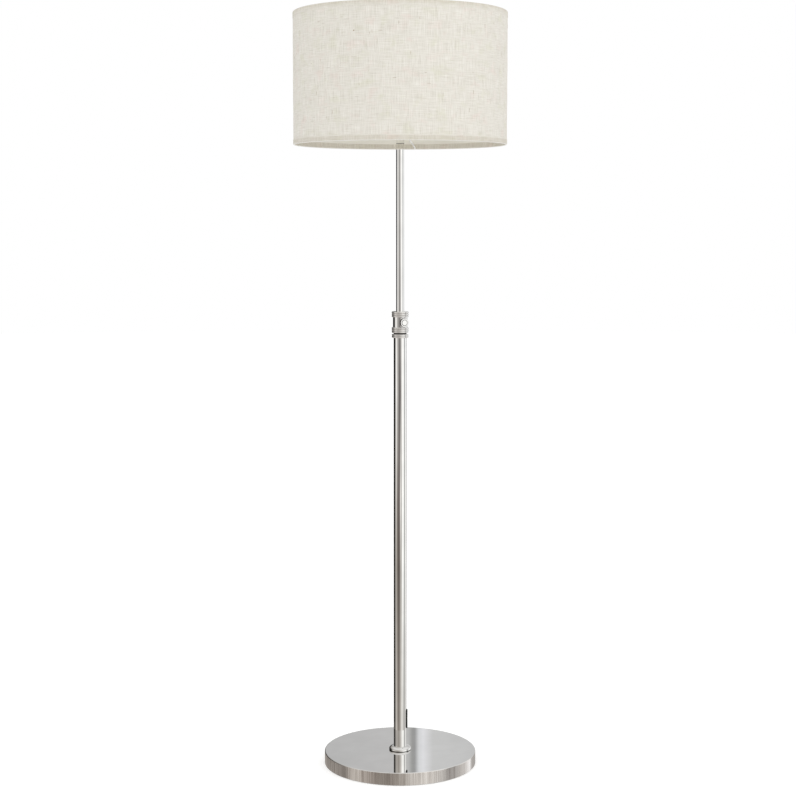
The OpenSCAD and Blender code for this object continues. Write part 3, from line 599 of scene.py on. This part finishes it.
def slub_pattern():
    """Short thick places in the yarns, laid along the threads of a flat cloth and wrapped on the drum."""
    tree, size = new_pattern("slubs in the yarn", [
        ("Slubs", "Int"), ("Cloth length", "Float"), ("Cloth height", "Float"), ("Radius", "Float"),
        ("Bottom", "Float"), ("Start", "Float"), ("Shortest", "Float"), ("Longest", "Float"),
        ("Yarn width", "Float"), ("Yarn lift", "Float"), ("Share upright", "Float"), ("Seed", "Int"),
        ("Cloth", "Material")])
    seed = size["Seed"]
    corner = add(tree, "ShaderNodeCombineXYZ", {"X": size["Cloth length"], "Y": size["Cloth height"]})
    spots = add(tree, "FunctionNodeRandomValue", {1: corner, 8: seed}, data_type="FLOAT_VECTOR")
    points = add(tree, "GeometryNodePoints", {"Count": size["Slubs"], "Position": spots})
    yarn = add(tree, "GeometryNodeMeshUVSphere", {"Segments": 8, "Rings": 8, "Radius": 1.0})
    reach = add(tree, "FunctionNodeRandomValue", {2: size["Shortest"], 3: size["Longest"], 8: seed},
                data_type="FLOAT").outputs[1]
    half_reach = add(tree, "ShaderNodeMath", {0: reach, 1: 0.5}, operation="MULTIPLY")
    half_width = add(tree, "ShaderNodeMath", {0: size["Yarn width"], 1: 0.5}, operation="MULTIPLY")
    shape = add(tree, "ShaderNodeCombineXYZ", {"X": half_reach, "Y": half_width, "Z": size["Yarn lift"]})
    upright = add(tree, "FunctionNodeRandomValue", {6: size["Share upright"], 8: seed},
                  data_type="BOOLEAN").outputs[3]
    turn = add(tree, "ShaderNodeMath", {0: upright, 1: math.pi / 2}, operation="MULTIPLY")
    turn_z = add(tree, "ShaderNodeCombineXYZ", {"Z": turn})
    facing = add(tree, "FunctionNodeEulerToRotation", {0: turn_z})
    laid = add(tree, "GeometryNodeInstanceOnPoints", {"Points": points, "Instance": yarn,
                                                      "Rotation": facing, "Scale": shape})
    tone = add(tree, "FunctionNodeRandomValue", {2: -0.6, 3: 0.42, 8: seed}, data_type="FLOAT").outputs[1]
    toned = add(tree, "GeometryNodeStoreNamedAttribute", {"Geometry": laid, "Name": "yarn_tone",
                                                          "Value": tone},
                data_type="FLOAT", domain="INSTANCE")
    solid = add(tree, "GeometryNodeRealizeInstances", {"Geometry": toned})
    flat_place = add(tree, "GeometryNodeInputPosition")
    mapped = add(tree, "GeometryNodeStoreNamedAttribute", {"Geometry": solid, "Name": "cloth",
                                                           "Value": flat_place},
                 data_type="FLOAT2", domain="CORNER")
    place = add(tree, "ShaderNodeSeparateXYZ", {0: add(tree, "GeometryNodeInputPosition")}).outputs
    arc = add(tree, "ShaderNodeMath", {0: place["X"], 1: size["Radius"]}, operation="DIVIDE")
    angle = add(tree, "ShaderNodeMath", {0: arc, 1: size["Start"]}, operation="ADD")
    out = add(tree, "ShaderNodeMath", {0: place["Z"], 1: size["Radius"]}, operation="ADD")
    cosine = add(tree, "ShaderNodeMath", {0: angle}, operation="COSINE")
    sine = add(tree, "ShaderNodeMath", {0: angle}, operation="SINE")
    x = add(tree, "ShaderNodeMath", {0: out, 1: cosine}, operation="MULTIPLY")
    y = add(tree, "ShaderNodeMath", {0: out, 1: sine}, operation="MULTIPLY")
    z = add(tree, "ShaderNodeMath", {0: place["Y"], 1: size["Bottom"]}, operation="ADD")
    round_place = add(tree, "ShaderNodeCombineXYZ", {"X": x, "Y": y, "Z": z})
    bent = add(tree, "GeometryNodeSetPosition", {"Geometry": mapped, "Position": round_place})
    dyed = add(tree, "GeometryNodeSetMaterial", {"Geometry": bent, "Material": size["Cloth"]})
    smooth = add(tree, "GeometryNodeSetShadeSmooth", {"Geometry": dyed})
    add(tree, "NodeGroupOutput", {"Geometry": smooth})
    return tree


# Bits of flax stalk left in the yarn: short, thin and brown.
husk = mottled("flax stalk in linen", "#A3927A", "#BFB098", 1.5 * MM, (0.7, 0.9), 0.05 * MM)
slub_margin = 24 * MM
along_yarn = slub_pattern()
cloth_bits = []
for name, yarn_finish, count, shortest, longest, width, upright, seed in (
        ("linen_slubs", linen, 620, 9, 34, 1.3, 0.5, 11), ("linen_husks", husk, 50, 3.5, 10, 0.65, 0.75, 5)):
    bits = placed(name, bpy.data.meshes.new(name))
    grown(bits, along_yarn, {
        "Slubs": count, "Cloth length": 2 * math.pi * linen_out_r - 2 * slub_margin,
        "Cloth height": linen_h - 2 * slub_margin, "Radius": linen_out_r + cloth_waves / 2,
        "Bottom": film_low.z + slub_margin, "Start": back + slub_margin / linen_out_r,
        "Shortest": shortest * MM, "Longest": longest * MM, "Yarn width": width * MM,
        "Yarn lift": 0.2 * MM, "Share upright": upright, "Seed": seed, "Cloth": yarn_finish})
    cloth_bits.append(bits)

# One knot of stalk high on the left of the front, 2.4 mm across
knot_turn = math.radians(-114.2)
knot_z = 1.449
knot_size = Vector((0.4, 1.2, 1.3)) * MM
knot_unevenness, knot_waviness = 0.25, 2
knot = bmesh.new()
lump(knot, knot_size, knot_unevenness, knot_waviness, Vector())
bmesh.ops.transform(knot, verts=knot.verts, matrix=Matrix.Rotation(knot_turn, 4, "Z")
                    @ Matrix.Translation((linen_out_r + cloth_waves / 2, 0, knot_z)))
knot_mesh = bpy.data.meshes.new("linen_knot")
knot.to_mesh(knot_mesh)
knot.free()
cloth_bits.append(clean("linen_knot", knot_mesh))
knot_mesh.materials.append(husk)
for bits in cloth_bits:
    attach(bits, "head")


# ---- Hem tapes ----
# A strip of the same linen, cut 25 mm wide, is folded round each ring wire and glued to both faces of
# the shade. Its ends lap beside the shade's own seam.

shade_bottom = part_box("shade_hem_bottom")[0].z
shade_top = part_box("shade_hem_top")[1].z
shade_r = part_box("shade_hem_bottom")[1].x
film_t = 0.4 * MM
hem_h = 11 * MM
hem_mid = hem_h * 0.6
hem_t = 0.35 * MM
pocket_r = wire_r + 0.1 * MM
fold_r = pocket_r + hem_t
fold_steps = 16
fold_middle = shade_r - fold_r
hem_in_r = -film_low.x - film_t - bond
hem_slack = 1 * MM
hem_shoulder = fold_r + hem_slack
hem_step = fold_r + pocket_r + 3 * MM


def hem_outline():
    """The tape's section above the shade's edge: outer face, fold, inner half, and back inside it."""
    turn = [math.pi * i / fold_steps for i in range(fold_steps + 1)]
    outer = [(fold_middle + fold_r * math.cos(a), fold_r - fold_r * math.sin(a)) for a in turn]
    inner = [(fold_middle + pocket_r * math.cos(a), fold_r - pocket_r * math.sin(a)) for a in reversed(turn)]
    return ([(shade_r, hem_h), (shade_r, hem_mid)] + outer
            + [(fold_middle - fold_r, hem_shoulder), (hem_in_r - hem_t, hem_step), (hem_in_r - hem_t, hem_h),
               (hem_in_r, hem_h), (hem_in_r, hem_step - hem_t), (fold_middle - pocket_r, hem_shoulder)]
            + inner + [(shade_r - hem_t, hem_mid), (shade_r - hem_t, hem_h)])


hem_start = back + 0.9 * lap / shade_r
crease = hem_h - fold_r + math.pi / 2 * fold_r
# Painted shade: the tapes are tinted darker for two layers of linen over film and wire letting less light
# through, the lower hem darkest. The lower crease gets a painted highlight, the upper crease painted shade.
for side, edge, way, painted_shade_tint, fade, painted_crease_tone in (("bottom", shade_bottom, 1, "#F1EFEB", 3 * MM, "#FFFDF8"),
                                           ("top", shade_top, -1, "#F3F1ED", 8 * MM, "#DEDACF")):
    tape = wrapped("shade_hem_%s_tape" % side, [(r, edge + way * z) for r, z in hem_outline()], shade_r,
                   hem_start)
    tape.data.materials.append(linen_cloth("linen tape, %s hem" % side, painted_shade_tint, fade, crease, painted_crease_tone))
    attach(tape, "head")
    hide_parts("shade_hem_" + side)


# ---- Studio: floor, lamps, surroundings and camera ----
# A pale sweep under the lamp, two soft lamps, and a white room with grey flags that chrome shows as
# upright bands. The camera stands where the photograph was taken from.

pure_white = linear("#FFFFFF")
floor_r = 14.0
floor_glow = 0.36
floor_mesh = bpy.data.meshes.new("studio_floor")
floor_shape = bmesh.new()
bmesh.ops.create_circle(floor_shape, cap_ends=True, segments=96, radius=floor_r)
floor_shape.to_mesh(floor_mesh)
floor_shape.free()
floor = placed("studio_floor", floor_mesh)
# Matt paint, a little uneven. To the camera it is white, and it keeps the lamp's shadow.
floor_paint, tree = new_finish("matt white sweep")
tone = add(tree, "ShaderNodeValToRGB", {0: grain_of(tree, 300 * MM, detail=2.0)}, [
    (0.3, "#E9E9E8"), (0.7, "#EFEFEE")])
paint = add(tree, "ShaderNodeBsdfPrincipled", {"Base Color": tone, "Roughness": 0.9,
                                               "Specular IOR Level": 0.1})
glow = add(tree, "ShaderNodeEmission", {"Color": pure_white, "Strength": floor_glow})
lit = add(tree, "ShaderNodeAddShader", {0: paint, 1: glow})
seen = add(tree, "ShaderNodeLightPath").outputs["Is Camera Ray"]
shown = add(tree, "ShaderNodeMixShader", {0: seen, 1: paint, 2: lit})
add(tree, "ShaderNodeOutputMaterial", {"Surface": shown})
floor_mesh.materials.append(floor_paint)
floor.visible_glossy = False

lamp_target = Vector((0, 0, 0.8))
for name, place, size, power in (("key_lamp", Vector((3.5, -1.5, 2.5)), 2.2, 21),
                                 ("fill_lamp", Vector((-1.1, -3.4, 2.2)), 2.4, 15)):
    lamp = bpy.data.lights.new(name, "AREA")
    lamp.shape = "DISK"
    lamp.size = size
    lamp.energy = power
    holder = placed(name, lamp)
    aim = (lamp_target - place).to_track_quat("-Z", "Y").to_matrix().to_4x4()
    holder.matrix_world = Matrix.Translation(place) @ aim
    holder.visible_glossy = False

# What chrome shows, at eight heights of the room as sines: degrees round the lamp from the camera's
# side, left is negative
room_bands = [
    (-0.305, [(-180, "#A59F99"), (-124, "#A59F99"), (-112, "#ADA7A1"), (-98, "#8F8983"), (-90, "#7F7973"),
              (-84, "#C4BEB7"), (-70, "#CAC5BE"), (-60, "#C1BAB3"), (-46, "#AAA29B"), (-29, "#928B84"),
              (-11, "#9D968F"), (6, "#AFAAA3"), (22, "#DAD7D2"), (40, "#E3E0DB"), (60, "#CFCCC8"),
              (70, "#C2C0BC"), (77, "#A09D9A"), (94, "#ADABA8"), (106, "#CBC9C6"), (118, "#D0CECB"),
              (124, "#FFFFFF"), (134, "#FFFFFF"), (142, "#B6B3B0"), (180, "#A9A6A3")]),
    (-0.285, [(-180, "#33302D"), (-108, "#2E2B28"), (-98, "#7B7772"), (-84, "#9B9690"), (-70, "#C6C1BA"),
              (-60, "#B9B2AB"), (-46, "#928A83"), (-29, "#7C756E"), (-11, "#938C85"), (6, "#ADA8A1"),
              (22, "#D9D6D1"), (40, "#E2DFDA"), (60, "#C3C1BD"), (74, "#AAA8A5"), (92, "#ACAAA7"),
              (104, "#D6D4D1"), (126, "#D4D2D0"), (146, "#B0AEAC"), (180, "#A3A1A0")]),
    (-0.2, [(-180, "#2A2825"), (-108, "#24221F"), (-98, "#75716D"), (-84, "#AAA59F"), (-68, "#ACA69F"),
            (-56, "#837B74"), (-46, "#776F68"), (-29, "#5C5550"), (-10, "#5E5752"), (-3, "#8F8882"),
            (5, "#BBB6B0"), (16, "#ABA6A1"), (28, "#BCB8B4"), (34, "#FFFFFC"), (68, "#FFFFFC"),
            (77, "#9C9C9A"), (91, "#A2A2A0"), (100, "#F4F4F2"), (124, "#F4F4F2"), (138, "#A0A09F"),
            (180, "#787877")]),
    (-0.162, [(-180, "#211F1C"), (-108, "#1C1A18"), (-98, "#75716D"), (-84, "#B9B5B0"), (-74, "#D8D4CF"),
              (-64, "#C0BAB5"), (-54, "#857D78"), (-46, "#776F6A"), (-29, "#6E6662"), (-10, "#68605C"),
              (-2, "#B4AFAA"), (5, "#FAF7F3"), (12, "#E0DCD8"), (18, "#AEAAA6"), (28, "#C3BFBC"),
              (34, "#FFFFFC"), (70, "#FFFFFC"), (78, "#9E9D9B"), (92, "#A4A3A1"), (100, "#F8F8F6"),
              (124, "#F8F8F6"), (138, "#A4A3A2"), (180, "#7C7B7A")]),
    (-0.1, [(-180, "#141312"), (-104, "#161514"), (-97, "#6E6C69"), (-86, "#B5B3B0"), (-77, "#FAF7F4"),
            (-60, "#F3F0ED"), (-52, "#BDB9B6"), (-38, "#A6A29F"), (-26, "#908C89"), (-12, "#625E5C"),
            (3, "#6A6663"), (14, "#9E9A97"), (24, "#CFCBC8"), (33, "#FFFDFA"), (70, "#FFFFFD"),
            (78, "#9C9C9C"), (91, "#A2A2A2"), (100, "#F8F8F8"), (124, "#F8F8F8"), (138, "#A4A4A4"),
            (180, "#7C7C7C")]),
    (0.03, [(-180, "#121110"), (-103, "#151413"), (-96, "#7C7A78"), (-87, "#D0CECB"), (-77, "#F6F4F1"),
            (-62, "#EDEAE7"), (-50, "#C9C7C4"), (-36, "#B6B4B1"), (-26, "#A6A4A1"), (-12, "#9A9795"),
            (0, "#B8B5B3"), (10, "#E0DEDB"), (22, "#FCFAF7"), (64, "#FFFFFD"), (74, "#A9A9A9"),
            (90, "#B0B0B0"), (102, "#F4F4F4"), (130, "#F4F4F4"), (150, "#DCDCDC"), (180, "#D4D4D4")]),
    (0.33, [(-180, "#6E6B67"), (-146, "#5C5956"), (-132, "#3A3836"), (-106, "#31302E"), (-97, "#6E6A66"),
            (-84, "#9B9691"), (-66, "#A59F99"), (-46, "#AAA49E"), (-30, "#969089"), (-12, "#ABA59F"),
            (6, "#C3BEB9"), (22, "#CFCBC7"), (32, "#FDFBF8"), (70, "#FFFFFC"), (77, "#A6A5A4"),
            (93, "#A9A8A7"), (102, "#E8E7E5"), (124, "#E8E7E5"), (142, "#C0BFBE"), (180, "#B4B3B2")]),
    (0.4, [(-180, "#A19E9A"), (-106, "#97938F"), (-84, "#A7A29D"), (-46, "#B2ACA6"), (0, "#C3BFBA"),
           (32, "#D9D6D2"), (70, "#DBD9D6"), (93, "#B7B6B4"), (124, "#D2D1CF"), (180, "#B4B3B2")])]
# Degrees to the right of straight back, as the top of the foot mirrors it
backdrop_reach = 3.0
backdrop = [(-backdrop_reach, "#B5B5B5"), (0.2, "#BDBCBC"), (0.36, "#B6B6B5"), (0.49, "#9A9A99"),
            (0.58, "#989898"), (0.72, "#D2D3D5"), (0.87, "#DDDDE0"), (1.2, "#C6C6C6"),
            (backdrop_reach, "#C0C0C0")]
backdrop_inner, backdrop_outer = math.radians(6), math.radians(12)
backdrop_foot, backdrop_full = 0.12, 0.2
chrome_gain = 1.06
soft_strength = 0.885
world = bpy.data.worlds.new("studio")
bpy.context.scene.world = world
world.use_nodes = True
tree = world.node_tree
tree.nodes.clear()
ray = add(tree, "ShaderNodeSeparateXYZ", {0: add(tree, "ShaderNodeTexCoord").outputs["Generated"]}).outputs
towards = add(tree, "ShaderNodeMath", {0: ray["Y"], 1: -1.0}, operation="MULTIPLY")
heading = add(tree, "ShaderNodeMath", {0: ray["X"], 1: towards}, operation="ARCTAN2")
round_share = add(tree, "ShaderNodeMapRange", {0: heading, 1: -math.pi, 2: math.pi})
room, below = None, None
for height, stops in room_bands:
    bands = add(tree, "ShaderNodeValToRGB", {0: round_share}, [((a + 180) / 360, code) for a, code in stops])
    if room is not None:
        share = add(tree, "ShaderNodeMapRange", {0: ray["Z"], 1: below, 2: height})
        bands = add(tree, "ShaderNodeMix", {0: share, 6: room, 7: bands}, data_type="RGBA").outputs[2]
    room, below = bands, height
# The bands fade towards the floor and the ceiling
for start, end, most, code in ((-0.34, -0.7, 0.8, "#C4BDBA"), (0.45, 0.8, 0.6, "#F4F3F2")):
    fade = add(tree, "ShaderNodeMapRange", {0: ray["Z"], 1: start, 2: end, 3: 0.0, 4: most})
    room = add(tree, "ShaderNodeMix", {0: fade, 6: room, 7: linear(code)}, data_type="RGBA").outputs[2]
from_back = add(tree, "ShaderNodeMath", {0: ray["X"], 1: ray["Y"]}, operation="ARCTAN2")
back_share = add(tree, "ShaderNodeMapRange", {0: from_back, 1: math.radians(-backdrop_reach),
                                              2: math.radians(backdrop_reach)})
behind = add(tree, "ShaderNodeValToRGB", {0: back_share}, [
    ((a + backdrop_reach) / (2 * backdrop_reach), code) for a, code in backdrop])
off_back = add(tree, "ShaderNodeMath", {0: from_back}, operation="ABSOLUTE")
near_back = add(tree, "ShaderNodeMapRange", {0: off_back, 1: backdrop_inner, 2: backdrop_outer,
                                             3: 1.0, 4: 0.0})
raised = add(tree, "ShaderNodeMapRange", {0: ray["Z"], 1: backdrop_foot, 2: backdrop_full})
hung = add(tree, "ShaderNodeMath", {0: near_back, 1: raised}, operation="MULTIPLY")
room = add(tree, "ShaderNodeMix", {0: hung, 6: room, 7: behind}, data_type="RGBA").outputs[2]
# Chrome shows the room, the camera and glass see white, and all else is lit by an even soft light
path = add(tree, "ShaderNodeLightPath").outputs
soft_light = add(tree, "ShaderNodeBackground", {"Color": pure_white, "Strength": soft_strength})
room_light = add(tree, "ShaderNodeBackground", {"Color": room, "Strength": chrome_gain})
white_light = add(tree, "ShaderNodeBackground", {"Color": pure_white, "Strength": 1.0})
for_metal = add(tree, "ShaderNodeMixShader", {0: path["Is Glossy Ray"], 1: soft_light, 2: room_light})
sees_white = add(tree, "ShaderNodeMath", {0: path["Is Camera Ray"], 1: path["Is Transmission Ray"]},
                 operation="MAXIMUM")
whole = add(tree, "ShaderNodeMixShader", {0: sees_white, 1: for_metal, 2: white_light})
add(tree, "ShaderNodeOutputWorld", {"Surface": whole})
bpy.context.scene.view_settings.view_transform = "Standard"

# The photograph was taken from 3.39 m away and 1.09 m up, looking 5.8 degrees down
camera_pitch = 0.1016
camera = bpy.data.cameras.new("photo_camera")
camera.sensor_width = 36
camera.lens = 77.0
photo_camera = placed("photo_camera", camera)
photo_camera.location = (-0.00428, -3.387566, 1.09417)
photo_camera.rotation_euler = (math.pi / 2 - camera_pitch, 0, 0)
bpy.context.scene.camera = photo_camera
